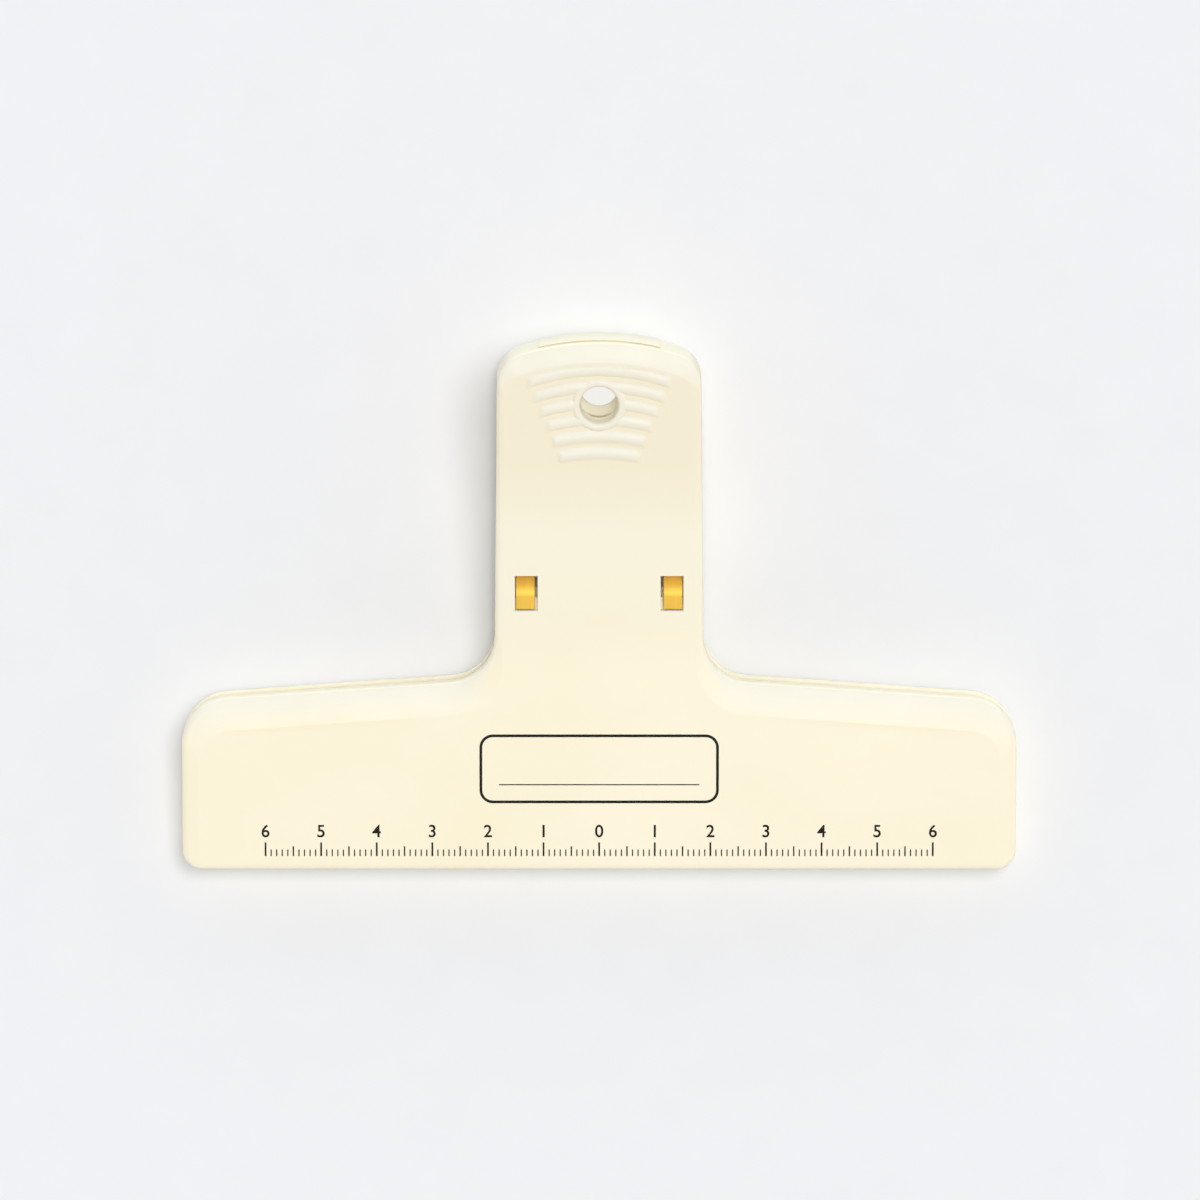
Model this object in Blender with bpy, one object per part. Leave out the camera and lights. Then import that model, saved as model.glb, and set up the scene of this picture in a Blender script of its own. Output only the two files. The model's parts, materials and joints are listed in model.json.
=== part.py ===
"""Paper clamp: two T-shaped moulded plates, closed at the jaw by a flat C-shaped spring.

Each plate is a thin shell with a turned-down rim. It is modelled flat, with its outer face
down at z = 0, the jaw edge along y = 0 and the handle towards +Y, then cranked outwards where
the handle leaves the jaw. The front plate is the back plate turned half a turn about the long
axis of the clip, so the same moulding serves twice: a nose on its +X side rocks in a socket on
the other plate's -X side. The spring's closed end lies round that pivot, between the plates,
and its four prongs come out through the plates' windows and pull on a shelf inside each one.

The clip lies on its back plate, on the grip bars and the jaw edge. X is the width of the jaw,
+Y points to the handle, +Z is up.
"""

import math

import bmesh
import bpy
import numpy as np
from mathutils import Matrix, Vector

mm = 0.001

# Fit between pieces that touch
gap = 0.3 * mm

# Outline of a plate, seen square to its face
jaw_half = 75.0 * mm              # half of the jaw's length
wing_end_height = 30.7 * mm       # height of the wings at their ends
wing_root_height = 34.7 * mm      # height of the wings where they meet the stem
stem_root_half = 18.8 * mm        # half width of the stem at the wings
stem_tip_half = 18.2 * mm         # half width of the stem at its end
pivot_rise = 25.3 * mm            # top of the wings to the pivot
handle_reach = 37.0 * mm          # pivot to the handle's end, on the front plate
back_shortening = 1.8 * mm        # the back plate's handle is shorter by this
jaw_corner_radius = 3.4 * mm
wing_corner_radius = 8.5 * mm
root_fillet_radius = 8.3 * mm
handle_corner_radius = 6.0 * mm
handle_end_radius = 47.0 * mm
least_radius = 1.0 * mm           # least radius left on a corner that is drawn in

# Section of a plate
wall = 2.4 * mm                   # thickness of the face
rim_wall = 2.1 * mm               # thickness of the turned-down rim
rim_draft = 0.1 * mm              # the rim is thicker by this where it leaves the face
roof_corner = 0.7 * mm            # bevel inside, between the rim and the face
lip_land = 3.0 * mm               # width of the gripping land along the jaw edge
rim_setback = 0.6 * mm            # the wings' rim stops this far short of the jaw's half thickness
handle_depth = 7.8 * mm           # depth of the rim at the handle end
bevel_drop = 1.6 * mm             # how far the bevelled edge falls below the face
bevel_width = {                   # width of the bevel along each stretch of the edge
    "jaw": 1.0 * mm,
    "end": 3.0 * mm,
    "top": 5.6 * mm,
    "side": 1.4 * mm,
    "tip": 3.3 * mm,
}
bevel_section = [(1.0, 0.0), (0.1, 0.86), (0.0, 1.25)]  # share of the width left, share of the drop

# Attitude of the plates
jaw_half_thickness = 5.0 * mm     # outer face to the middle of the clip, at the jaw edge
wing_angle = math.radians(3.5)    # jaw part of a plate to the middle plane
crank_angle = math.radians(6.0)   # how far the handle is cranked outwards
crank_rise = 2.3 * mm             # top of the wings to where the crank begins
crank_length = 10.0 * mm
crank_cuts = 5

# Pivot
open_angle = math.radians(22.0)   # how far the handles can be squeezed
nose_radius = 2.6 * mm
socket_edge = 0.4 * mm            # the socket's edge stops this far short of the middle plane
shoulder_width = 2.0 * mm         # shoulder on each side of the nose or socket
lug_spread = 3.4 * mm             # a lug is wider by this, each side, where it leaves the face
lug_inset = 0.2 * mm              # outer side of the stem to the outer face of a lug
lug_overhang = 0.15 * mm          # a lug is thicker than the rim by this

# Hanging hole and grip bars
hole_margin = 11.2 * mm           # handle end to the hole's centre
hole_radius = 3.4 * mm
hole_flare = 0.35 * mm            # rounding at the mouth of the hole
ring_width = 1.45 * mm            # raised ring round the hole, as high as the bars
ring_section = [(1.0, 0.0), (0.7, 0.8), (0.5, 1.0)]  # share of the width, share of the height
boss_wall = 2.0 * mm              # wall of the boss behind the hole
boss_depth = 4.4 * mm             # depth of the boss below the outer face
boss_draft = 0.1 * mm
bar_count = 6
bar_width = 2.0 * mm
bar_height = 0.4 * mm
bar_pitch = 3.07 * mm
bar_margin = 4.8 * mm             # handle end to the middle of the outermost bar
bar_section = [(-0.5, 0.0), (-0.32, 0.7), (-0.12, 1.0), (0.12, 1.0), (0.32, 0.7), (0.5, 0.0)]  # likewise
bar_radius = 36.0 * mm            # every bar is bent to this radius
bar_half_length = 12.7 * mm       # half length of the outermost bar
bar_shortening = 1.09 * mm        # each bar is shorter than the one before by this, each side

# Step in the end wall of the handle
step_half = 10.85 * mm
step_proud = 0.25 * mm
step_margin = 0.15 * mm           # the strip stops this far short of the wall's upper and lower edge

# Windows for the spring's prongs
window_width = 4.1 * mm
window_reach = 12.4 * mm          # pivot to the window's end nearer the jaw
window_length = 6.5 * mm
shelf_length = 2.15 * mm          # the prong's tip pulls on this shelf inside the window

# Ribs inside a plate
rib_width = 1.6 * mm
rib_setback = 0.4 * mm            # a rib is shallower than the wings' rim by this
long_rib_distance = 17.5 * mm     # jaw edge to the rib that runs along the wings
long_rib_setback = 0.2 * mm       # this one is shallower than the rim by less
cross_rib_pitch = 21.0 * mm       # spacing of the short ribs across the wings
stem_rib_centre = 8.2 * mm        # the two ribs down the stem
rib_clearance = 2.3 * mm          # spring's closed end to where those ribs go on

# Spring
strip = 0.7 * mm                  # thickness of the spring strip
side_clearance = 1.3 * mm         # spring's edge to the lugs
prong_inner_clearance = 0.5 * mm  # prong to the side of its window nearer the centre line
prong_outer_clearance = 0.3 * mm  # prong to the other side
prong_sink = 0.2 * mm             # a prong's tip lies this far below the outer face
arm_clearance = 0.5 * mm          # spring arm to the inside of the face
dive_start = 0.45 * mm            # a prong begins to dive this far past the shelf
dive_share = 0.8                  # share of the dive that lies within the window

# Colours
ivory = (0.93, 0.88, 0.70, 1.0)
brass = (0.83, 0.56, 0.14, 1.0)

# Facets along round stretches
jaw_corner_steps = 5
corner_steps = 8
handle_corner_steps = 6
bar_steps = 10
arc_steps = 12
round_steps = 32

# Joining and cutting
embed = 0.6 * mm                  # how deep an added rib or boss is sunk into what carries it
cut_margin = 2.0 * mm             # how far a cutter reaches past what it cuts
weld = 0.001 * mm                 # points closer than this are one point
sharp_angle = math.radians(32.0)  # edges that turn by more than this stay sharp

# Sizes that follow from the ones above, along a plate from its jaw edge
pivot_distance = wing_root_height + pivot_rise
plate_length = pivot_distance + handle_reach
back_plate_length = plate_length - back_shortening
crank_start = wing_root_height + crank_rise
crank_end = crank_start + crank_length
bar_first = plate_length - bar_margin
hole_distance = plate_length - hole_margin
window_start = pivot_distance - window_reach
window_end = window_start + window_length
shelf_end = window_start + shelf_length
dive_from = shelf_end + dive_start
dive_to = dive_from + (window_end - dive_from) / dive_share

# The same, below the outer face
edge_drop = bevel_section[-1][1] * bevel_drop
wing_depth = jaw_half_thickness - rim_setback
rib_depth = wing_depth - rib_setback
long_rib_depth = wing_depth - long_rib_setback
shelf_sink = prong_sink + strip + gap
tip_depth = prong_sink + 0.5 * strip
arm_depth = wall + arm_clearance + 0.5 * strip

# The same, across the clip from its centre line
stem_taper = (stem_root_half - stem_tip_half) / (plate_length - wing_root_height)
lug_outer = stem_root_half - pivot_rise * stem_taper - lug_inset
lug_inner = lug_outer - rim_wall - lug_overhang
lug_half = nose_radius + shoulder_width
lug_root_half = lug_half + lug_spread
spring_half = lug_inner - side_clearance
window_outer = spring_half + prong_outer_clearance
window_inner = window_outer - window_width
prong_inner = window_inner + prong_inner_clearance

handle_angle = wing_angle + crank_angle


def make_material(name, colour, roughness, metallic):
    material = bpy.data.materials.new(name)
    material.diffuse_color = colour
    material.use_nodes = True
    shader = material.node_tree.nodes["Principled BSDF"]
    shader.inputs["Base Color"].default_value = colour
    shader.inputs["Roughness"].default_value = roughness
    shader.inputs["Metallic"].default_value = metallic
    return material


def link_mesh(name, bm):
    """Turn a bmesh into an object of the scene."""
    bmesh.ops.recalc_face_normals(bm, faces=bm.faces[:])
    mesh = bpy.data.meshes.new(name)
    bm.to_mesh(mesh)
    bm.free()
    thing = bpy.data.objects.new(name, mesh)
    bpy.context.scene.collection.objects.link(thing)
    return thing


# The crank: how a flat plate is bent, and where the middle plane lies in it

def crank(y, z):
    """Bend a point of the flat plate; lengths along the outer face stay as they are."""
    radius = (crank_end - crank_start) / crank_angle
    turn = min(max((y - crank_start) / (crank_end - crank_start), 0.0), 1.0) * crank_angle
    if y <= crank_start:
        return y, z
    beyond = max(y - crank_end, 0.0)
    along = crank_start + (radius + z) * math.sin(turn) + beyond * math.cos(crank_angle)
    across = (radius + z) * math.cos(turn) - radius - beyond * math.sin(crank_angle)
    return along, across


def to_middle(y, z):
    """Flat plate to the middle plane: distance along it, and reach from it to the plate."""
    along, across = crank(y, z)
    drop = across - jaw_half_thickness
    distance = along * math.cos(wing_angle) + drop * math.sin(wing_angle)
    reach = along * math.sin(wing_angle) - drop * math.cos(wing_angle)
    return distance, reach


def from_middle(distance, reach):
    """The other way round, for a point beside the handle part of the plate."""
    start_distance, start_reach = to_middle(crank_end, 0.0)
    forward = distance - start_distance
    outward = reach - start_reach
    y = crank_end + forward * math.cos(handle_angle) + outward * math.sin(handle_angle)
    z = forward * math.sin(handle_angle) - outward * math.cos(handle_angle)
    return y, z


def lip_plane(y):
    """Depth of the gripping land, half a gap short of the middle plane."""
    return jaw_half_thickness + (y * math.sin(wing_angle) - 0.5 * gap) / math.cos(wing_angle)


def rim_depth(y):
    """Depth of the rim below the outer face at a distance from the jaw edge."""
    if y < lip_land + jaw_corner_radius:
        return lip_plane(y)
    share = (y - crank_end) / (bar_first - crank_end)
    return wing_depth + (handle_depth - wing_depth) * min(max(share, 0.0), 1.0)


# Outline

def rounded_corner(before, corner, after, radius, steps):
    """Arc that rounds a corner between two straight edges."""
    incoming = (before - corner).normalized()
    outgoing = (after - corner).normalized()
    half = 0.5 * incoming.angle(outgoing)
    centre = corner + (incoming + outgoing).normalized() * (radius / math.sin(half))
    first = corner + incoming * (radius / math.tan(half)) - centre
    last = corner + outgoing * (radius / math.tan(half)) - centre
    start = math.atan2(first.y, first.x)
    turn = math.remainder(math.atan2(last.y, last.x) - start, 2.0 * math.pi)
    return [centre + radius * Vector((math.cos(start + turn * step / steps),
                                      math.sin(start + turn * step / steps)))
            for step in range(steps + 1)]


def wing_slope():
    return math.atan2(wing_root_height - wing_end_height, jaw_half - stem_root_half)


def wing_height(x):
    """Distance of the wings' top edge from the jaw edge, beside the stem."""
    return wing_root_height - (x - stem_root_half) * math.tan(wing_slope())


def t_outline(length, inset):
    """The T of a plate, drawn in from its edge by its own amount along each stretch."""
    foot = inset["jaw"]
    side = jaw_half - inset["end"]
    lowered = inset["top"] / math.cos(wing_slope())
    root = stem_root_half - inset["side"]
    jaw_corner = Vector((side, foot))
    wing_corner = Vector((side, wing_height(side) - lowered))
    root_corner = Vector((root, wing_height(root) - lowered))
    above_root = Vector((root - (length - wing_root_height) * stem_taper, length))

    corner_radius = max(handle_corner_radius - 0.5 * (inset["side"] + inset["tip"]), least_radius)
    tip_radius = handle_end_radius - inset["tip"]
    tip_centre = length - handle_end_radius
    corner_x = above_root.x + handle_corner_radius * stem_taper - corner_radius
    corner_y = tip_centre + math.sqrt((tip_radius - corner_radius) ** 2 - corner_x ** 2)
    bearing = math.atan2(corner_x, corner_y - tip_centre)

    half = rounded_corner(Vector((0.0, foot)), jaw_corner, wing_corner,
                          max(jaw_corner_radius - inset["end"], least_radius), jaw_corner_steps)
    half += rounded_corner(jaw_corner, wing_corner, root_corner,
                           max(wing_corner_radius - inset["end"], least_radius), corner_steps)
    half += rounded_corner(wing_corner, root_corner, above_root,
                           root_fillet_radius + inset["side"], corner_steps)
    for step in range(handle_corner_steps + 1):
        angle = (0.5 * math.pi - bearing) * step / handle_corner_steps
        half.append(Vector((corner_x + corner_radius * math.cos(angle),
                            corner_y + corner_radius * math.sin(angle))))
    for step in range(1, corner_steps):
        angle = bearing * (1.0 - step / corner_steps)
        half.append(Vector((tip_radius * math.sin(angle),
                            tip_centre + tip_radius * math.cos(angle))))
    middle = [Vector((0.0, tip_centre + tip_radius))]
    return half + middle + [Vector((-point.x, point.y)) for point in reversed(half)]


# Solids that a plate is put together from

def prism(outline, low, high):
    """Closed prism: an outline in the y-z plane, carried along x from low to high."""
    bm = bmesh.new()
    face = bm.faces.new([bm.verts.new((low, y, z)) for y, z in outline])
    carried = bmesh.ops.extrude_face_region(bm, geom=[face])["geom"]
    moved = [item for item in carried if isinstance(item, bmesh.types.BMVert)]
    bmesh.ops.translate(bm, verts=moved, vec=(high - low, 0.0, 0.0))
    return bm


def block(low, high):
    """Closed box between two corners."""
    outline = [(low[1], low[2]), (high[1], low[2]), (high[1], high[2]), (low[1], high[2])]
    return prism(outline, low[0], high[0])


def turned(profile, centre):
    """Profile of (radius, z) points turned about an upright axis; it starts and ends on it."""
    bm = bmesh.new()
    points = [bm.verts.new((centre[0] + radius, centre[1], z)) for radius, z in profile]
    edges = [bm.edges.new(pair) for pair in zip(points, points[1:])]
    bmesh.ops.spin(bm, geom=points + edges, cent=(centre[0], centre[1], 0.0), axis=(0.0, 0.0, 1.0),
                   angle=2.0 * math.pi, steps=round_steps, use_merge=True)
    bmesh.ops.remove_doubles(bm, verts=bm.verts[:], dist=weld)
    return bm


def gathered(parts):
    """Several closed solids in one mesh."""
    bm = bmesh.new()
    for part in parts:
        mesh = bpy.data.meshes.new("part")
        bmesh.ops.recalc_face_normals(part, faces=part.faces[:])
        part.to_mesh(mesh)
        part.free()
        bm.from_mesh(mesh)
        bpy.data.meshes.remove(mesh)
    return bm


def shell(length):
    """Thin T-shaped shell, lofted through outlines from its face round the rim to its inside."""
    edge = {key: 0.0 for key in bevel_width}
    rim = {key: rim_wall for key in bevel_width}
    rim["jaw"] = lip_land
    draft = {key: width + rim_draft for key, width in rim.items()}
    roof = {key: max(bevel_width[key], rim[key]) + roof_corner for key in bevel_width}
    sections = []
    for width_share, drop_share in bevel_section:
        inset = {key: width_share * width for key, width in bevel_width.items()}
        sections.append((inset, drop_share * bevel_drop))
    sections += [(edge, None), (rim, None), (draft, wall + roof_corner), (roof, wall)]
    bm = bmesh.new()
    loops = []
    for inset, depth in sections:
        loops.append([bm.verts.new((point.x, point.y, rim_depth(point.y) if depth is None else depth))
                      for point in t_outline(length, inset)])
    for lower, upper in zip(loops, loops[1:]):
        for index, corner in enumerate(lower):
            following = (index + 1) % len(lower)
            bm.faces.new((corner, lower[following], upper[following], upper[index]))
    bmesh.ops.triangulate(bm, faces=bm.faces[:])
    bm.faces.new(loops[0])
    bm.faces.new(loops[-1])
    return bm


def grip_bars():
    """Raised bars across the handle, each an arched section swept along an arc."""
    bars = []
    for index in range(bar_count):
        half_turn = math.asin((bar_half_length - index * bar_shortening) / bar_radius)
        middle = bar_first - index * bar_pitch
        centre = Vector((0.0, middle - bar_radius, 0.0))
        bm = bmesh.new()
        arch = [(across * bar_width, -up * bar_height) for across, up in bar_section]
        arch = [(arch[0][0], wall - embed)] + arch + [(arch[-1][0], wall - embed)]
        start = Matrix.Rotation(half_turn, 3, "Z")
        points = [bm.verts.new(centre + start @ Vector((0.0, bar_radius + across, z)))
                  for across, z in arch]
        face = bm.faces.new(points)
        bmesh.ops.spin(bm, geom=[face] + face.edges[:] + points, cent=centre, axis=(0.0, 0.0, 1.0),
                       angle=-2.0 * half_turn, steps=bar_steps)
        bars.append(bm)
    return gathered(bars)


def pivot_lugs():
    """Nose on the +X side and socket on the -X side, in the plane of the rim."""
    root = wall - embed
    shoulder = lug_half * math.tan(open_angle) - socket_edge + gap
    socket_radius = nose_radius + gap
    edge_turn = math.asin(socket_edge / socket_radius)

    def beside(forward, reach):
        return from_middle(pivot_distance + forward, reach)

    def arc(radius, start, end):
        angles = [start + (end - start) * step / arc_steps for step in range(arc_steps + 1)]
        return [beside(radius * math.cos(angle), radius * math.sin(angle)) for angle in angles]

    near_root = (beside(-lug_root_half, 0.0)[0], root)
    far_root = (beside(lug_root_half, 0.0)[0], root)
    nose = [near_root, beside(-lug_half, shoulder), beside(-nose_radius, shoulder)]
    nose += arc(nose_radius, math.pi, 2.0 * math.pi)
    nose += [beside(nose_radius, shoulder), beside(lug_half, shoulder), far_root]
    socket = [near_root, beside(-lug_half, socket_edge)]
    socket += arc(socket_radius, math.pi - edge_turn, edge_turn)
    socket += [beside(lug_half, socket_edge), far_root]
    return gathered([prism(nose, lug_inner, lug_outer), prism(socket, -lug_outer, -lug_inner)])


def end_step(length):
    """Strip that stands proud of the handle's end wall, over its middle."""
    half_turn = math.asin(step_half / handle_end_radius)
    bm = bmesh.new()
    centre = Vector((0.0, length - handle_end_radius, 0.0))
    inner = -0.5 * rim_wall
    low = edge_drop + step_margin
    high = handle_depth - step_margin
    section = [(inner, low), (step_proud, low), (step_proud, high), (inner, high)]
    start = Matrix.Rotation(half_turn, 3, "Z")
    points = [bm.verts.new(centre + start @ Vector((0.0, handle_end_radius + across, z)))
              for across, z in section]
    face = bm.faces.new(points)
    bmesh.ops.spin(bm, geom=[face] + face.edges[:] + points, cent=centre, axis=(0.0, 0.0, 1.0),
                   angle=-2.0 * half_turn, steps=arc_steps)
    return bm


def cross_ribs():
    """Short ribs across the wings, from the gripping land to the rim along their top."""
    ribs = []
    last = math.floor((jaw_half - wing_corner_radius) / cross_rib_pitch)
    for index in range(-last, last + 1):
        x = index * cross_rib_pitch
        if abs(x) < stem_root_half:
            continue
        ribs.append(block((x - 0.5 * rib_width, lip_land - embed, wall - embed),
                          (x + 0.5 * rib_width, wing_height(abs(x)) - 0.5 * rim_wall, rib_depth)))
    return gathered(ribs)


def stem_ribs():
    """Ribs down the stem: one in the middle up to the windows, one along each side of it."""
    inner = lip_land - embed
    top = window_start - gap
    parts = [block((-0.5 * rib_width, inner, wall - embed), (0.5 * rib_width, top, rib_depth))]
    for side in (-1, 1):
        x = side * stem_rib_centre
        parts.append(block((x - 0.5 * rib_width, inner, wall - embed),
                           (x + 0.5 * rib_width, top, rib_depth)))
    return gathered(parts)


def handle_ribs(length):
    """The two side ribs again, past the spring, up to the end wall."""
    start = from_middle(spring_end(), 0.0)[0] + rib_clearance
    drop = handle_end_radius - math.sqrt(handle_end_radius ** 2 - stem_rib_centre ** 2)
    parts = []
    for side in (-1, 1):
        x = side * stem_rib_centre
        parts.append(block((x - 0.5 * rib_width, start, wall - embed),
                           (x + 0.5 * rib_width, length - drop - 0.5 * rim_wall, rib_depth)))
    return gathered(parts)


def windows():
    """Cutters for the two windows, each with a shelf in its end nearer the jaw."""
    outline = [(window_start, -cut_margin), (window_end, -cut_margin), (window_end, wall + cut_margin),
               (shelf_end, wall + cut_margin), (shelf_end, shelf_sink), (window_start, shelf_sink)]
    return gathered([prism(outline, window_inner, window_outer),
                     prism(outline, -window_outer, -window_inner)])


def combine(target, tool, operation):
    """Boolean of a target with a solid that is not kept."""
    cutter = link_mesh("cutter", tool)
    cutter.display_type = "WIRE"
    cutter.hide_render = True
    boolean = target.modifiers.new(operation.lower(), "BOOLEAN")
    boolean.operation = operation
    boolean.solver = "EXACT"
    boolean.object = cutter
    bpy.context.view_layer.update()
    evaluated = target.evaluated_get(bpy.context.evaluated_depsgraph_get())
    mesh = bpy.data.meshes.new_from_object(evaluated)
    target.modifiers.clear()
    target.data = mesh
    bpy.data.objects.remove(cutter)


def crank_mesh(mesh):
    """Cut a flat plate across the crank, then bend it there."""
    bm = bmesh.new()
    bm.from_mesh(mesh)
    bmesh.ops.triangulate(bm, faces=bm.faces[:])
    for cut in range(crank_cuts + 1):
        y = crank_start + (crank_end - crank_start) * cut / crank_cuts
        bmesh.ops.bisect_plane(bm, geom=bm.verts[:] + bm.edges[:] + bm.faces[:], dist=weld,
                               plane_co=(0.0, y, 0.0), plane_no=(0.0, 1.0, 0.0))
    for vert in bm.verts:
        vert.co.y, vert.co.z = crank(vert.co.y, vert.co.z)
    bmesh.ops.dissolve_degenerate(bm, dist=2.0 * weld, edges=bm.edges[:])
    bmesh.ops.triangulate(bm, faces=bm.faces[:])
    bmesh.ops.recalc_face_normals(bm, faces=bm.faces[:])
    bm.to_mesh(mesh)
    bm.free()


def finish(thing, material):
    """Smooth shading between facets, sharp edges elsewhere, and the piece's own material."""
    thing.data.shade_smooth()
    thing.data.set_sharp_from_angle(angle=sharp_angle)
    thing.data.materials.clear()
    thing.data.materials.append(material)


def make_plate(name, length, material):
    """One moulded plate, in its own frame: outer face down, jaw edge along y = 0."""
    plate = link_mesh(name, shell(length))
    hole = (0.0, hole_distance)
    arch = [(hole_radius + out * ring_width, -up * bar_height) for out, up in ring_section]
    ring = [(0.0, embed), (arch[0][0], embed)] + arch + [(0.0, -bar_height)]
    boss_radius = hole_radius + boss_wall
    boss = [(0.0, wall - embed), (boss_radius, wall - embed),
            (boss_radius - boss_draft, boss_depth), (0.0, boss_depth)]
    mouth = bar_height + cut_margin
    bore = [(0.0, -mouth), (hole_radius + hole_flare + cut_margin, -mouth),
            (hole_radius, hole_flare - bar_height), (hole_radius, boss_depth + cut_margin),
            (0.0, boss_depth + cut_margin)]
    combine(plate, turned(ring, hole), "UNION")
    combine(plate, grip_bars(), "UNION")
    combine(plate, turned(boss, hole), "UNION")
    combine(plate, handle_ribs(length), "UNION")
    combine(plate, stem_ribs(), "UNION")
    combine(plate, cross_ribs(), "UNION")
    outer = jaw_half - 0.5 * rim_wall
    long_rib = block((-outer, long_rib_distance - 0.5 * rib_width, wall - embed),
                     (outer, long_rib_distance + 0.5 * rib_width, long_rib_depth))
    combine(plate, long_rib, "UNION")
    combine(plate, end_step(length), "UNION")
    combine(plate, pivot_lugs(), "UNION")
    combine(plate, windows(), "DIFFERENCE")
    combine(plate, turned(bore, hole), "DIFFERENCE")
    crank_mesh(plate.data)
    finish(plate, material)
    return plate


# Spring

def spring_radius():
    """Radius of the closed end, from the pivot to the middle of the strip."""
    return from_middle(pivot_distance, 0.0)[1] - arm_depth


def spring_end():
    """Distance of the spring's closed end from the jaw edge."""
    return pivot_distance + spring_radius() + 0.5 * strip


def spring_line():
    """Middle of the strip, from one tip round to the other, along and across the middle plane."""
    points = [to_middle(window_start + gap, tip_depth)]
    for step in range(corner_steps + 1):
        share = step / corner_steps
        depth = tip_depth + (arm_depth - tip_depth) * 0.5 * (1.0 - math.cos(math.pi * share))
        points.append(to_middle(dive_from + (dive_to - dive_from) * share, depth))
    radius = spring_radius()
    for step in range(arc_steps):
        angle = (0.5 * math.pi + handle_angle) * (1.0 - step / arc_steps)
        points.append((pivot_distance + radius * math.cos(angle), radius * math.sin(angle)))
    far = [(pivot_distance + radius, 0.0)]
    return points + far + [(along, -across) for along, across in reversed(points)]


def make_spring(material):
    """Flat strip bent to a C, with two prongs at each end."""
    line = np.array(spring_line())
    along = np.gradient(line, axis=0)
    along /= np.linalg.norm(along, axis=1)[:, None]
    across = np.stack([-along[:, 1], along[:, 0]], axis=1)
    outline = np.concatenate([line + 0.5 * strip * across, (line - 0.5 * strip * across)[::-1]])
    spring = link_mesh("spring", prism([tuple(point) for point in outline], -spring_half, spring_half))
    web = to_middle(dive_to, wall)[0]
    reach = line[:, 1].max() + strip
    notch = block((-prong_inner, line[:, 0].min() - strip, -reach), (prong_inner, web, reach))
    combine(spring, notch, "DIFFERENCE")
    finish(spring, material)
    return spring


# Assembly

def lowest_line():
    """Angle of the line on which the back plate rests: jaw edge to outermost bar."""
    jaw = crank(bevel_width["jaw"], 0.0)
    bar = crank(bar_first, -bar_height)
    return math.atan2(bar[1] - jaw[1], bar[0] - jaw[0])


def world_bounds(things):
    corners = np.array([thing.matrix_world @ vert.co for thing in things for vert in thing.data.vertices])
    return corners.min(axis=0), corners.max(axis=0)


def main():
    for thing in list(bpy.data.objects):
        bpy.data.objects.remove(thing, do_unlink=True)
    plastic = make_material("ivory_plastic", ivory, 0.35, 0.0)
    metal = make_material("brass_plated_steel", brass, 0.25, 1.0)

    back_plate = make_plate("back_plate", back_plate_length, plastic)
    front_plate = make_plate("front_plate", plate_length, plastic.copy())
    spring = make_spring(metal)

    middle = Matrix.Translation((0.0, 0.0, jaw_half_thickness)) @ Matrix.Rotation(wing_angle, 4, "X")
    half_turn = middle @ Matrix.Rotation(math.pi, 4, "Y") @ middle.inverted()
    lying = Matrix.Rotation(-lowest_line(), 4, "X")
    back_plate.matrix_world = lying
    front_plate.matrix_world = lying @ half_turn
    spring.matrix_world = lying @ middle
    low, high = world_bounds([back_plate, front_plate, spring])
    settle = Matrix.Translation((0.0, -0.5 * (low[1] + high[1]), -low[2]))

    pivot = bpy.data.objects.new("pivot", None)
    bpy.context.scene.collection.objects.link(pivot)
    pivot.matrix_world = settle @ lying @ middle @ Matrix.Translation((0.0, pivot_distance, 0.0))
    bpy.context.view_layer.update()
    for thing in (back_plate, spring):
        thing.matrix_world = settle @ thing.matrix_world
    front_plate.parent = pivot
    front_plate.matrix_parent_inverse = pivot.matrix_world.inverted()
    front_plate.matrix_world = settle @ lying @ half_turn
    bpy.context.view_layer.update()


main()
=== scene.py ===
import json
import math

import bmesh
import bpy
import numpy as np
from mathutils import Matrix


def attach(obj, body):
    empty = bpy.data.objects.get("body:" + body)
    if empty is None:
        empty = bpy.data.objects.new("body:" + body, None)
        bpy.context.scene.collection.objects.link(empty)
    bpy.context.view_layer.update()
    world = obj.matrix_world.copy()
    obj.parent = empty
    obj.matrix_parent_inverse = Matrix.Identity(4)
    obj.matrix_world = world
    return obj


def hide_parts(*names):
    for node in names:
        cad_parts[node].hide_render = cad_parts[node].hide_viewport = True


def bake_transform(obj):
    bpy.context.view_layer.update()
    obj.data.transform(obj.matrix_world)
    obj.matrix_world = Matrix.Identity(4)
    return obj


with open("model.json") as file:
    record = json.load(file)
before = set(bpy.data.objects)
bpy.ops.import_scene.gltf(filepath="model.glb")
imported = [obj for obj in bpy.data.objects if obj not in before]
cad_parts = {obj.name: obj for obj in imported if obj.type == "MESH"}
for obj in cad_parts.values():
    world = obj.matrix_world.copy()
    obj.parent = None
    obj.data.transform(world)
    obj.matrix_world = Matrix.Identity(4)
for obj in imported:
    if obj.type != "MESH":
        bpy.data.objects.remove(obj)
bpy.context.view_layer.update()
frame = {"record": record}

mm = 0.001
print("frame loaded")


# Sizes of the clip, in millimetres. A plate is drawn flat: outer face at z = 0, jaw edge at y = 0,
# handle towards +y, inside towards +z. It is bent and set in its place at the end.

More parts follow.
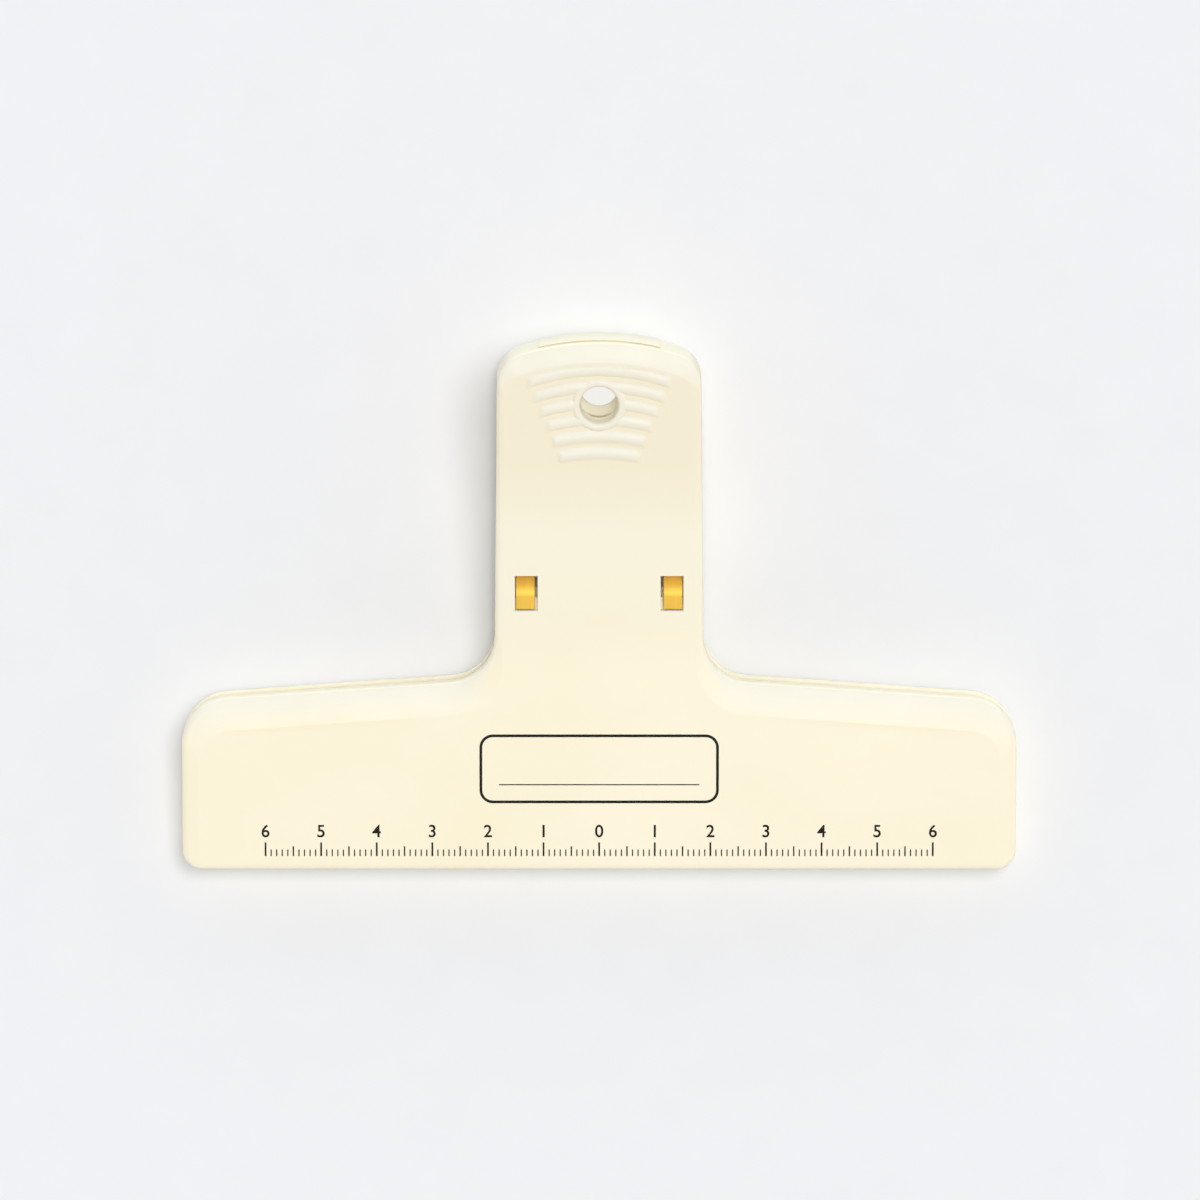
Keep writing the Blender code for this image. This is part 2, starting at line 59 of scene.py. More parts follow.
plate = {
    "jawHalf": 75.0,
    "wingEnd": 30.7,        # height of the wings at their ends
    "wingRoot": 34.7,       # and beside the stem
    "stemRoot": 18.8,       # half the stem's width there
    "stemTip": 18.2,        # and at the handle's end
    "length": 97.0,
    "backLength": 95.2,     # nothing of the back plate's handle shows beyond the front one
    "jawCorner": 3.4,       # radii of the outline's corners
    "wingCorner": 8.5,
    "rootFillet": 8.3,
    "handleCorner": 6.0,
    "endRadius": 47.0,
    "leastRadius": 1.0,
    "wall": 2.4,
    "sunk": 0.6,            # what stands on the inside starts this deep in the wall
    "wingDepth": 4.4,       # depth of the rim at the wings
    "handleDepth": 7.8,     # and at the first bar
    "lipLand": 3.0,
    "landBlend": 1.0,
    "halfThickness": 5.0,   # outer face to the middle plane, at the jaw edge
    "lipGap": 0.15,         # land to the middle plane
    "wingAngle": math.radians(3.5),
    "crankAngle": math.radians(6.0),
    "crankStart": 37.0,
    "crankLength": 10.0,
    "pivot": 60.0,          # jaw edge to the pivot, along the middle plane
    "rimDraft": 0.1,
    "roofCorner": 0.7,      # inside corner between the face's wall and the rim
    "sharpAngle": math.radians(33.0),
}
bars = {
    "count": 6,
    "first": 92.2,
    "pitch": 3.07,
    "width": 2.0,
    "height": 0.4,
    "crown": 0.57,          # power of the cosine: a broad crown with steep flanks
    "radius": 36.0,
    "halfLength": 12.7,
    "shortening": 1.09,
    "endFade": 0.9,
    "rise": 6.0,            # the face's rows bend to the bars' arc over this length before them
    "fall": 0.7,            # and lose the bend over this length at the handle's end
    "sideMargin": 1.6,      # and also beside the stem's edges
    "sideBlend": 2.6,
}


# Bending and placing

def crank(y, z):  # arc of the crank angle between start and end, straight beyond
    angle = plate["crankAngle"]
    start = plate["crankStart"]
    radius = plate["crankLength"] / angle
    turn = np.clip((y - start) / plate["crankLength"], 0.0, 1.0) * angle
    beyond = np.maximum(y - start - plate["crankLength"], 0.0)
    along = np.minimum(y, start) + (radius + z) * np.sin(turn) + beyond * math.cos(angle)
    across = (radius + z) * np.cos(turn) - radius - beyond * math.sin(angle)
    return along, across


def toMiddle(y, z):  # distance along the middle plane, and reach from it out to the plate
    along, across = crank(y, z)
    drop = across - plate["halfThickness"]
    cosine = math.cos(plate["wingAngle"])
    sine = math.sin(plate["wingAngle"])
    return along * cosine + drop * sine, along * sine - drop * cosine


def fromMiddle(distance, reach):  # the other way round, beside the handle
    end = plate["crankStart"] + plate["crankLength"]
    startDistance, startReach = toMiddle(end, 0.0)
    angle = plate["wingAngle"] + plate["crankAngle"]
    forward = distance - startDistance
    away = reach - startReach
    y = end + forward * math.cos(angle) + away * math.sin(angle)
    return y, forward * math.sin(angle) - away * math.cos(angle)


bevelWidth = {"jaw": 1.0, "end": 3.0, "top": 5.6, "side": 1.4, "tip": 3.3}
rimWidth = {"jaw": 3.0, "end": 2.1, "top": 2.1, "side": 2.1, "tip": 2.1}
roofWidth = {key: max(bevelWidth[key], rimWidth[key]) + plate["roofCorner"] for key in bevelWidth}


def restingLine():  # slope of the line from the jaw edge to the outermost bar
    jawAlong, jawAcross = crank(bevelWidth["jaw"], 0.0)
    barAlong, barAcross = crank(bars["first"], -bars["height"])
    return math.atan2(barAcross - jawAcross, barAlong - jawAlong)


pivotPlace = np.array(frame["record"]["behaviour"]["joints"][0]["pos_m"])
lean = plate["wingAngle"] - restingLine()


def fromMiddlePlane(x, distance, height):  # millimetres about the pivot to metres in the frame
    forward = (distance - plate["pivot"]) * mm
    upward = height * mm
    y = pivotPlace[1] + forward * math.cos(lean) - upward * math.sin(lean)
    z = pivotPlace[2] + forward * math.sin(lean) + upward * math.cos(lean)
    return np.stack([x * mm, y, z], axis=-1)


def placed(points, body):  # plate to frame; the front plate is the back one turned half round
    side = -1.0 if body == "front" else 1.0
    distance, reach = toMiddle(points[:, 1], points[:, 2])
    return fromMiddlePlane(side * points[:, 0], distance, -side * reach)


# Meshes

xWay, yWay, zWay = np.eye(3)


def makeMesh(name, points, faces):
    mesh = bpy.data.meshes.new(name)
    mesh.from_pydata(np.asarray(points).tolist(), [], faces)
    mesh.update()
    return mesh


def linked(name, data):
    thing = bpy.data.objects.new(name, data)
    bpy.context.scene.collection.objects.link(thing)
    return thing


def makeObject(name, points, faces):
    return linked(name, makeMesh(name, points, faces))


def shadeSmooth(piece, sharpAngle):
    piece.data.shade_smooth()
    piece.data.set_sharp_from_angle(angle=sharpAngle)


def evaluated(piece):  # a working object's mesh with its modifiers applied; the object goes
    bpy.context.view_layer.update()
    graph = bpy.context.evaluated_depsgraph_get()
    mesh = bpy.data.meshes.new_from_object(piece.evaluated_get(graph))
    bpy.data.objects.remove(piece)
    return mesh


def meshArrays(mesh):
    points = np.empty(len(mesh.vertices) * 3)
    mesh.vertices.foreach_get("co", points)
    return points.reshape(-1, 3), [list(face.vertices) for face in mesh.polygons]


def joined(parts):  # lists of (points, faces) put one after the other
    points, faces = [], []
    count = 0
    for partPoints, partFaces in parts:
        points.append(partPoints)
        faces += [[index + count for index in face] for face in partFaces]
        count += len(partPoints)
    return np.concatenate(points), faces


def outward(points, faces):  # turns a closed part whose faces point in: its volume comes out negative
    fans = [(face[0], face[i], face[i + 1]) for face in faces for i in range(1, len(face) - 1)]
    a, b, c = points[np.array(fans).T]
    if np.sum(a * np.cross(b, c)) > 0:
        return points, faces
    return points, [face[::-1] for face in faces]


def wallFaces(rows):  # quads between each closed row of point numbers and the next
    faces = []
    for first, second in zip(rows, rows[1:]):
        faces += np.stack([first, np.roll(first, -1), np.roll(second, -1), second], axis=-1).tolist()
    return faces


def tubeFaces(count, rowCount):  # rows of count points one after the other, and a cap at each end
    rows = np.arange(count * rowCount).reshape(rowCount, count)
    return wallFaces(rows) + [rows[0, ::-1].tolist(), rows[-1].tolist()]


def stacked(outline, levels):  # an outline repeated at each level, which becomes the third coordinate
    return np.concatenate([np.column_stack([outline, np.full(len(outline), level)]) for level in levels])


def prismX(outline, low, high):  # outline of (y, z) carried along x
    points = np.roll(stacked(outline, (low, high)), 1, axis=1)
    return outward(points, tubeFaces(len(outline), 2))


def prismZ(outline, low, high):  # outline of (x, y) carried along z
    return outward(stacked(outline, (low, high)), tubeFaces(len(outline), 2))


def swept(section, stations):  # section of (across, up) repeated at each station's origin and two ways
    rows = [origin + section[:, :1] * across + section[:, 1:] * up for origin, across, up in stations]
    return outward(np.concatenate(rows), tubeFaces(len(section), len(rows)))


def evenly(count):
    return np.linspace(0.0, 1.0, count + 1)


def circlePoints(angle):
    return np.stack([np.cos(angle), np.sin(angle)], axis=-1)


def fullCircle(count):
    return circlePoints(np.arange(count) * 2.0 * math.pi / count)


def lathed(profile, centre, count):  # closed profile of (radius, z) turned round an upright axis
    flat = fullCircle(count)[:, None] * profile[:, :1] + centre
    level = np.broadcast_to(profile[:, 1:], (*flat.shape[:2], 1))
    rows = np.arange(count * len(profile)).reshape(count, -1)
    return outward(np.concatenate([flat, level], axis=-1).reshape(-1, 3), wallFaces([*rows, rows[0]]))


def softened(points, cuts, count):
    # Inner corners of a polyline replaced by quadratic curves of count points. A cut gives the shares
    # of the sides before and after the corner that its curve takes.
    points = np.array(points, dtype=float)
    rows = [points[:1]]
    share = evenly(count - 1)[:, None]
    for before, corner, after, cut in zip(points, points[1:], points[2:], cuts):
        start = corner + (before - corner) * cut[0]
        end = corner + (after - corner) * cut[1]
        rows.append(start * (1 - share) ** 2 + corner * 2 * share * (1 - share) + end * share ** 2)
    rows.append(points[-1:])
    return np.concatenate(rows)


def roundedBox(width, height, radius, count):  # closed outline about the origin, count quads a corner
    rows = []
    for turn, (right, up) in enumerate(((1, 1), (-1, 1), (-1, -1), (1, -1))):
        angle = 0.5 * math.pi * (turn + evenly(count))
        centre = np.array([right * (0.5 * width - radius), up * (0.5 * height - radius)])
        rows.append(centre + radius * circlePoints(angle))
    return np.concatenate(rows)


smallBevel = {"segments": 2, "angle": math.radians(35.0)}


def bevelled(points, faces, width):  # all edges of a small solid rounded a little
    body = makeObject("bevelBody", points, faces)
    modifier = body.modifiers.new("bevel", "BEVEL")
    modifier.width = width
    modifier.segments = smallBevel["segments"]
    modifier.limit_method = "ANGLE"
    modifier.angle_limit = smallBevel["angle"]
    return meshArrays(evaluated(body))


def smooth(value, low, high):  # 0 to 1 with soft ends as the value goes from low to high
    share = np.clip((value - low) / (high - low), 0.0, 1.0)
    return share * share * (3.0 - 2.0 * share)


# Outline of a plate

steps = {                   # quads along each stretch of half the outline
    "jawHalf": 5,           # half a corner
    "wingHalf": 8,
    "cornerHalf": 8,
    "end": 22,
    "top": 46,
    "fillet": 16,
    "across": 104,          # across the whole stem
}
stemRows = {                # the stem's side: coarse up to the bars, then fine
    "from": 43.0,
    "fineFrom": 75.4,
    "endMargin": 5.0,
    "coarse": 0.8,
    "fine": 0.2,
}
wingSlope = (plate["wingRoot"] - plate["wingEnd"]) / (plate["jawHalf"] - plate["stemRoot"])
stemTaper = (plate["stemRoot"] - plate["stemTip"]) / (plate["length"] - plate["wingRoot"])


def arcPoints(before, corner, after, radius, count):  # round of a corner between two straight edges
    incoming = (before - corner) / np.linalg.norm(before - corner)
    outgoing = (after - corner) / np.linalg.norm(after - corner)
    half = 0.5 * math.acos(float(incoming @ outgoing))
    bisector = (incoming + outgoing) / np.linalg.norm(incoming + outgoing)
    centre = corner + bisector * radius / math.sin(half)
    first = corner + incoming * radius / math.tan(half) - centre
    last = corner + outgoing * radius / math.tan(half) - centre
    start = math.atan2(first[1], first[0])
    turn = math.remainder(math.atan2(last[1], last[0]) - start, 2.0 * math.pi)
    return centre + radius * circlePoints(start + turn * evenly(count))


def straight(start, end, share):  # points between two ends, without the ends
    return start + (end - start) * np.asarray(share)[1:-1, None]


def wingHeight(x):
    return plate["wingRoot"] - (x - plate["stemRoot"]) * wingSlope


def stemShares(length):  # places along the stem's side, from 0 to 1
    coarse = np.arange(stemRows["from"], stemRows["fineFrom"], stemRows["coarse"])
    fine = np.arange(stemRows["fineFrom"], length - stemRows["endMargin"], stemRows["fine"])
    level = np.concatenate([coarse, fine])
    return (level - level[0]) / (level[-1] - level[0])


def halfOutline(length, inset, bottomShare):
    # Right half of the T, from the middle of the jaw to the middle of the handle's end. Each stretch
    # is drawn in by its own inset, and corners keep their centres as far as they can.
    lowered = inset["top"] * math.sqrt(1.0 + wingSlope * wingSlope)
    foot = inset["jaw"]
    side = plate["jawHalf"] - inset["end"]
    root = plate["stemRoot"] - inset["side"]
    middle = np.array([0.0, foot])
    jawCorner = np.array([side, foot])
    wingCorner = np.array([side, wingHeight(side) - lowered])
    rootCorner = np.array([root, wingHeight(root) - lowered])
    aboveRoot = np.array([root - (length - plate["wingRoot"]) * stemTaper, length])

    least = plate["leastRadius"]
    jawRadius = max(plate["jawCorner"] - inset["end"], least)
    wingRadius = max(plate["wingCorner"] - inset["end"], least)
    filletRadius = plate["rootFillet"] + inset["side"]
    jawArc = arcPoints(middle, jawCorner, wingCorner, jawRadius, 2 * steps["jawHalf"])
    wingArc = arcPoints(jawCorner, wingCorner, rootCorner, wingRadius, 2 * steps["wingHalf"])
    filletArc = arcPoints(wingCorner, rootCorner, aboveRoot, filletRadius, steps["fillet"])

    # the handle's corner touches both the stem's side and the arc of its end
    radius = max(plate["handleCorner"] - 0.5 * (inset["side"] + inset["tip"]), least)
    tipRadius = plate["endRadius"] - inset["tip"]
    tipCentre = length - plate["endRadius"]
    cornerX = aboveRoot[0] + plate["handleCorner"] * stemTaper - radius
    cornerY = tipCentre + math.sqrt((tipRadius - radius) ** 2 - cornerX ** 2)
    bearing = math.atan2(cornerX, cornerY - tipCentre)
    angle = (0.5 * math.pi - bearing) * evenly(2 * steps["cornerHalf"])
    cornerArc = radius * circlePoints(angle) + (cornerX, cornerY)
    angle = bearing * (1.0 - evenly(steps["across"] // 2 - steps["cornerHalf"])[1:])
    tipArc = tipRadius * circlePoints(angle)[:, ::-1] + (0.0, tipCentre)

    return np.concatenate([
        middle[None],
        straight(middle, jawArc[0], bottomShare),
        jawArc,
        straight(jawArc[-1], wingArc[0], evenly(steps["end"])),
        wingArc,
        straight(wingArc[-1], filletArc[0], evenly(steps["top"])),
        filletArc,
        straight(filletArc[-1], cornerArc[0], stemShares(length)),
        cornerArc,
        tipArc,
    ])


def outlineMarks(length):  # numbers of the points where the face is divided into patches
    jaw = steps["wingHalf"] + steps["top"] + steps["fillet"] + steps["across"] // 2
    bottom = jaw - steps["jawHalf"]
    wing = jaw + steps["jawHalf"] + steps["end"] + steps["wingHalf"]
    root = wing + steps["wingHalf"] + steps["top"] + steps["fillet"]
    corner = root + len(stemShares(length)) - 1 + steps["cornerHalf"]
    top = corner + steps["across"] // 2
    return dict(bottom=bottom, jaw=jaw, wing=wing, root=root, corner=corner, top=top)


def stretchShares(length):  # how far each point of the half outline belongs to each stretch
    marks = outlineMarks(length)
    knots = np.cumsum([marks["bottom"], 2 * steps["jawHalf"], steps["end"], 2 * steps["wingHalf"],
                       steps["top"], steps["fillet"], len(stemShares(length)) - 1, 2 * steps["cornerHalf"]])
    number = np.arange(marks["top"] + 1)
    shares = {"jaw": np.interp(number, knots[0:2], [1.0, 0.0])}
    for key, first in (("end", 0), ("top", 2), ("side", 4)):
        shares[key] = np.interp(number, knots[first:first + 4], [0.0, 1.0, 1.0, 0.0])
    shares["tip"] = np.interp(number, knots[6:8], [0.0, 1.0])
    return shares


def bottomShares(length):  # the jaw edge is divided like the wings' tops above it
    marks = outlineMarks(length)
    half = halfOutline(length, roofWidth, evenly(marks["bottom"]))
    across = evenly(steps["across"] // 2) * half[marks["root"], 0]
    above = half[marks["wing"]:marks["root"] + 1, 0][::-1]
    level = np.concatenate([across, above[1:]])[:marks["bottom"] + 1]
    return level / level[-1]


def rimDepth(y):  # land at the jaw, then the wings' rim, deeper towards the handle's end
    middle = (y * math.sin(plate["wingAngle"]) - plate["lipGap"]) / math.cos(plate["wingAngle"])
    land = plate["halfThickness"] + middle
    crankEnd = plate["crankStart"] + plate["crankLength"]
    share = np.clip((y - crankEnd) / (bars["first"] - crankEnd), 0.0, 1.0)
    depth = plate["wingDepth"] + (plate["handleDepth"] - plate["wingDepth"]) * share
    landEnd = plate["lipLand"] + plate["jawCorner"]
    blend = smooth(y, landEnd - 0.5 * plate["landBlend"], landEnd + 0.5 * plate["landBlend"])
    return land * (1.0 - blend) + depth * blend


# Face of a plate: two patches between the outline's points

bulgePower = {"jaw": 6, "stem": 1}


def coons(bottom, top, left, right, power):
    # Surface between four curves that share their corners: straight lines from bottom to top, plus
    # what the two sides bulge beyond them. A higher power keeps each bulge near its side.
    u = evenly(len(bottom) - 1)[None, :, None]
    v = evenly(len(left) - 1)[:, None, None]
    ruled = (1 - v) * bottom[None] + v * top[None]
    leftBulge = left[:, None] - ruled[:, :1]
    rightBulge = right[:, None] - ruled[:, -1:]
    return ruled + (1 - u) ** power * leftBulge + u ** power * rightBulge


def barLift(x, y):  # height of the grip bars: half a cosine across each arc, faded at its ends
    arcY = y + bars["radius"] - np.sqrt(np.maximum(bars["radius"] ** 2 - x ** 2, 0.0))
    lift = np.zeros_like(x)
    for index in range(bars["count"]):
        off = np.abs(arcY - (bars["first"] - index * bars["pitch"])) / (0.5 * bars["width"])
        crown = np.cos(0.5 * math.pi * np.clip(off, 0.0, 1.0)) ** bars["crown"]
        reach = bars["halfLength"] - index * bars["shortening"]
        fade = np.clip((reach - np.abs(x)) / bars["endFade"], 0.0, 1.0)
        lift = np.maximum(lift, bars["height"] * crown * np.sqrt(fade * (2.0 - fade)))
    return lift


def bendToBars(grid):  # the stem's rows take the arc of the bars, so that each bar runs along them
    x = grid[:, :, 0]
    centre = grid[:, steps["across"] // 2, 1][:, None]
    wanted = centre - bars["radius"] + np.sqrt(bars["radius"] ** 2 - x ** 2)
    rise = np.clip((centre - stemRows["fineFrom"] + bars["rise"]) / bars["rise"], 0.0, 1.0)
    fall = np.clip((centre[-1] - centre) / bars["fall"], 0.0, 1.0)
    beside = smooth(plate["stemTip"] - bars["sideMargin"] - np.abs(x), 0.0, bars["sideBlend"])
    grid[:, :, 1] += (wanted - grid[:, :, 1]) * rise * fall * beside


def patchNumbers(grid, start, bottom, top, left, right):
    # Point numbers of a patch: its edges have numbers already, its inside is counted from the start.
    numbers = np.empty(grid.shape[:2], dtype=int)
    inside = numbers[1:-1, 1:-1]
    inside[:] = start + np.arange(inside.size).reshape(inside.shape)
    numbers[0], numbers[-1] = bottom, top
    numbers[:, 0], numbers[:, -1] = left, right
    return numbers


def capPatches(loop, length, outer):
    # Fills a T outline with two grids: the jaw part up to the root, and the stem above it. Returns
    # the new points, and faces in which the loop's own points come first.
    marks = outlineMarks(length)
    rightNumbers = np.arange(marks["top"] + 1)
    leftNumbers = (len(loop) - rightNumbers) % len(loop)
    jaw, wing, root, corner = (marks[key] for key in ("jaw", "wing", "root", "corner"))

    rootLeft = loop[leftNumbers[root]]
    across = rootLeft + (loop[rightNumbers[root]] - rootLeft) * evenly(steps["across"])[:, None]

    jawRow = np.concatenate([leftNumbers[1:jaw + 1][::-1], rightNumbers[:jaw + 1]])
    endRight, endLeft = rightNumbers[jaw:wing + 1], leftNumbers[jaw:wing + 1]
    topRight, topLeft = rightNumbers[wing:root + 1][::-1], leftNumbers[wing:root + 1]
    topCurve = np.concatenate([loop[topLeft], across[1:-1], loop[topRight]])
    lower = coons(loop[jawRow], topCurve, loop[endLeft], loop[endRight], bulgePower["jaw"])

    sideRight, sideLeft = rightNumbers[root:corner + 1], leftNumbers[root:corner + 1]
    tipRow = np.concatenate([leftNumbers[corner:marks["top"]], rightNumbers[corner:][::-1]])
    upper = coons(across, loop[tipRow], loop[sideLeft], loop[sideRight], bulgePower["stem"])
    if outer:
        bendToBars(upper)

    lowerPoints, upperPoints = lower[1:-1, 1:-1].reshape(-1, 2), upper[1:-1, 1:-1].reshape(-1, 2)
    acrossStart = len(loop) + len(lowerPoints)
    upperStart = acrossStart + steps["across"] - 1
    acrossNumbers = np.arange(acrossStart, upperStart)
    topRow = np.concatenate([topLeft, acrossNumbers, topRight])
    rootRow = np.concatenate([sideLeft[:1], acrossNumbers, sideRight[:1]])
    faces = []
    for numbers in (patchNumbers(lower, len(loop), jawRow, topRow, endLeft, endRight),
                    patchNumbers(upper, upperStart, rootRow, tipRow, sideLeft, sideRight)):
        quads = np.stack([numbers[:-1, :-1], numbers[1:, :-1], numbers[1:, 1:], numbers[:-1, 1:]], axis=-1)
        quads = quads.reshape(-1, 4)
        faces += quads.tolist() if outer else quads[:, ::-1].tolist()
    return np.concatenate([lowerPoints, across[1:-1], upperPoints]), faces


# Loops of the T are carried down over the bevel and the wall, round the rim and up to the roof.
# A row of the profile gives each loop's inset in every stretch and the depths along it.

bevel = {
    "profile": {            # (share of the bevel's width, depth), corners of a soft curve
        "jaw": [(1.0, 0.0), (0.40, 0.15), (0.0, 0.70), (0.0, 2.56)],
        "end": [(1.0, 0.0), (0.30, 0.35), (0.0, 1.00), (0.0, 2.56)],
        "top": [(1.0, 0.0), (0.05, 1.38), (0.0, 1.80), (0.0, 2.56)],
        "side": [(1.0, 0.0), (0.45, 0.14), (0.0, 0.75), (0.0, 2.56)],
        "tip": [(1.0, 0.0), (0.08, 1.30), (0.0, 1.80), (0.0, 2.56)],
    },
    "cuts": [(0.22, 0.30), (0.45, 0.60)],
    "curvePoints": 8,
    "face": 1.25,           # one loop lies on the face, this share of the bevel's width from the edge
    "crease": 1.05,         # and another where a faint crease runs along the bevel
}
rim = {
    "edge": 0.35,
    "cuts": [(1.0, 0.34), (0.3, 0.3), (0.34, 1.0)],
    "curvePoints": 5,
}


def widthShare(widths, share):
    return {key: share * width for key, width in widths.items()}


def bevelRows(length):
    shares = stretchShares(length)
    curves = {key: softened(profile, bevel["cuts"], bevel["curvePoints"])
              for key, profile in bevel["profile"].items()}
    rows = [(widthShare(bevelWidth, share), 0.0) for share in (bevel["face"], bevel["crease"])]
    for row in range(len(curves["jaw"])):
        inset = {key: curve[row, 0] * bevelWidth[key] for key, curve in curves.items()}
        rows.append((inset, sum(shares[key] * curve[row, 1] for key, curve in curves.items())))
    return rows


def rimRows():  # inset, and depth added to the rim's own
    edge = rim["edge"]
    corners = [(0.0, -edge), (0.0, 0.0), (0.5, 0.0), (1.0, 0.0), (1.0, -edge)]
    curve = softened(corners, rim["cuts"], rim["curvePoints"])
    return [(widthShare(rimWidth, share), depth) for share, depth in curve]


def plateShell(length):
    bottomShare = bottomShares(length)
    roofSide = {key: width + plate["rimDraft"] for key, width in rimWidth.items()}
    rows = [(inset, depth, False) for inset, depth in bevelRows(length)]
    rows += [(inset, depth, True) for inset, depth in rimRows()]
    rows += [(roofSide, plate["wall"] + plate["roofCorner"], False), (roofWidth, plate["wall"], False)]
    loops = []
    for inset, depth, onRim in rows:
        half = halfOutline(length, inset, bottomShare)
        level = np.broadcast_to(depth + rimDepth(half[:, 1]) * onRim, len(half))
        right = np.column_stack([half, level])
        left = right[1:-1][::-1] * np.array([-1.0, 1.0, 1.0])
        loops.append(np.concatenate([right, left]))

    points = list(loops)
    total = len(loops) * len(loops[0])
    numbers = np.arange(total).reshape(len(loops), -1)
    faces = wallFaces(numbers)
    for row, outer in ((0, True), (-1, False)):
        inner, capFaces = capPatches(loops[row][:, :2], length, outer)
        capNumbers = np.concatenate([numbers[row], total + np.arange(len(inner))])
        faces += capNumbers[np.array(capFaces)].tolist()
        level = -barLift(inner[:, 0], inner[:, 1]) if outer else np.full(len(inner), plate["wall"])
        points.append(np.column_stack([inner, level]))
        total += len(inner)
    return np.concatenate(points), faces


# Holes in a plate, and what stands on it inside

window = {
    "start": 47.6,
    "length": 6.5,
    "inner": 11.0,
    "outer": 15.1,
    "shelf": 2.15,          # the ledge's length, and its depth below the face
    "sink": 1.2,
    "cut": (-2.0, 5.0),     # the cutters reach from well outside to well inside
}
eyelet = {                  # raised ring, bore and boss of the hanging hole
    "place": 85.8,
    "radius": 3.4,
    "profile": [            # beyond the radius, and depth
        (1.45, 0.35), (1.45, -0.02), (1.05, -0.4), (0.35, -0.4), (0.0, 0.0),
        (0.0, 4.15), (0.2, 4.4), (1.8, 4.4), (2.0, 4.15), (2.0, 1.8),
    ],
    "cuts": [(0.3, 0.4), (0.4, 0.4), (0.4, 0.5), (0.5, 0.1), (0.05, 0.5), (0.5, 0.1), (0.1, 0.5), (0.5, 0.1)],
    "curvePoints": 5,
    "steps": 96,
    "cutWider": 0.5,        # the plain hole under the ring
    "cutSteps": 64,
}


def cutPlate(points, faces):  # windows and the hanging hole, cut square through the flat plate
    low, high = window["cut"]
    start = window["start"]
    end = start + window["length"]
    shelf = start + window["shelf"]
    sink = window["sink"]
    outline = [(start, low), (end, low), (end, high), (shelf, high), (shelf, sink), (start, sink)]
    ring = fullCircle(eyelet["cutSteps"]) * (eyelet["radius"] + eyelet["cutWider"])
    ring[:, 1] += eyelet["place"]
    parts = [prismX(outline, window["inner"], window["outer"]),
             prismX(outline, -window["outer"], -window["inner"]),
             prismZ(ring, low, high)]
    body = makeObject("cutBody", points, faces)
    cutter = makeObject("cutter", *joined(parts))
    modifier = body.modifiers.new("cut", "BOOLEAN")
    modifier.operation = "DIFFERENCE"
    modifier.solver = "EXACT"
    modifier.object = cutter
    result = meshArrays(evaluated(body))
    bpy.data.objects.remove(cutter)
    return result


def eyeletRing():  # one closed profile turned round the hole
    profile = np.array(eyelet["profile"]) + (eyelet["radius"], 0.0)
    profile = softened(profile, eyelet["cuts"], eyelet["curvePoints"])
    return lathed(profile, (0.0, eyelet["place"]), eyelet["steps"])


ribs = {
    "width": 1.6,
    "depth": 4.0,
    "edge": 0.3,
    "curvePoints": 4,
    "longAt": 17.5,         # one long rib over the whole jaw
    "longDepth": 4.2,
    "pitch": 21.0,          # short ones across it, on each side of the middle
    "crossCount": 3,
    "stemAt": 8.2,          # three under the stem, and two under the handle
    "windowGap": 0.3,
    "handleFrom": 70.4,
    "spacing": 1.6,         # a rib towards the handle has a section this often, to follow the crank
    "intoRim": 1.05,
}


def ribSection(depth):  # box with its two free edges rounded, from inside the wall to its depth
    half = 0.5 * ribs["width"]
    base = plate["wall"] - plate["sunk"]
    upCut = ribs["edge"] / (depth - base)
    sideCut = 0.5 * ribs["edge"] / half
    corners = [(-half, base), (-half, depth), (half, depth), (half, base)]
    return softened(corners, [(upCut, sideCut), (sideCut, upCut)], ribs["curvePoints"])


def ribAlongY(x, start, end, depth):
    places = [*np.arange(start, end, ribs["spacing"]), end]
    return swept(ribSection(depth), [(np.array([x, y, 0.0]), xWay, zWay) for y in places])


def ribAlongX(y, half, depth):
    return swept(ribSection(depth), [(np.array([x, y, 0.0]), yWay, zWay) for x in (-half, half)])


def plateRibs(length):
    stemAt, depth, intoRim = ribs["stemAt"], ribs["depth"], ribs["intoRim"]
    inner = plate["lipLand"] - plate["sunk"]
    parts = [ribAlongX(ribs["longAt"], plate["jawHalf"] - intoRim, ribs["longDepth"])]
    for x in (-stemAt, 0.0, stemAt):
        parts.append(ribAlongY(x, inner, window["start"] - ribs["windowGap"], depth))
    drop = plate["endRadius"] - math.sqrt(plate["endRadius"] ** 2 - stemAt ** 2)
    for side in (-1, 1):
        for index in range(1, ribs["crossCount"] + 1):
            x = side * index * ribs["pitch"]
            parts.append(ribAlongY(x, inner, wingHeight(abs(x)) - intoRim, depth))
        parts.append(ribAlongY(side * stemAt, ribs["handleFrom"], length - drop - intoRim, depth))
    return joined(parts)


lug = {
    "nose": 2.6,            # radius
    "gap": 0.3,
    "socketEdge": 0.4,
    "half": 4.6,
    "rootHalf": 8.0,
    "inner": 16.1,
    "outer": 18.35,
    "openAngle": math.radians(22.0),
    "arcSteps": 32,
    "bevel": 0.22,
}


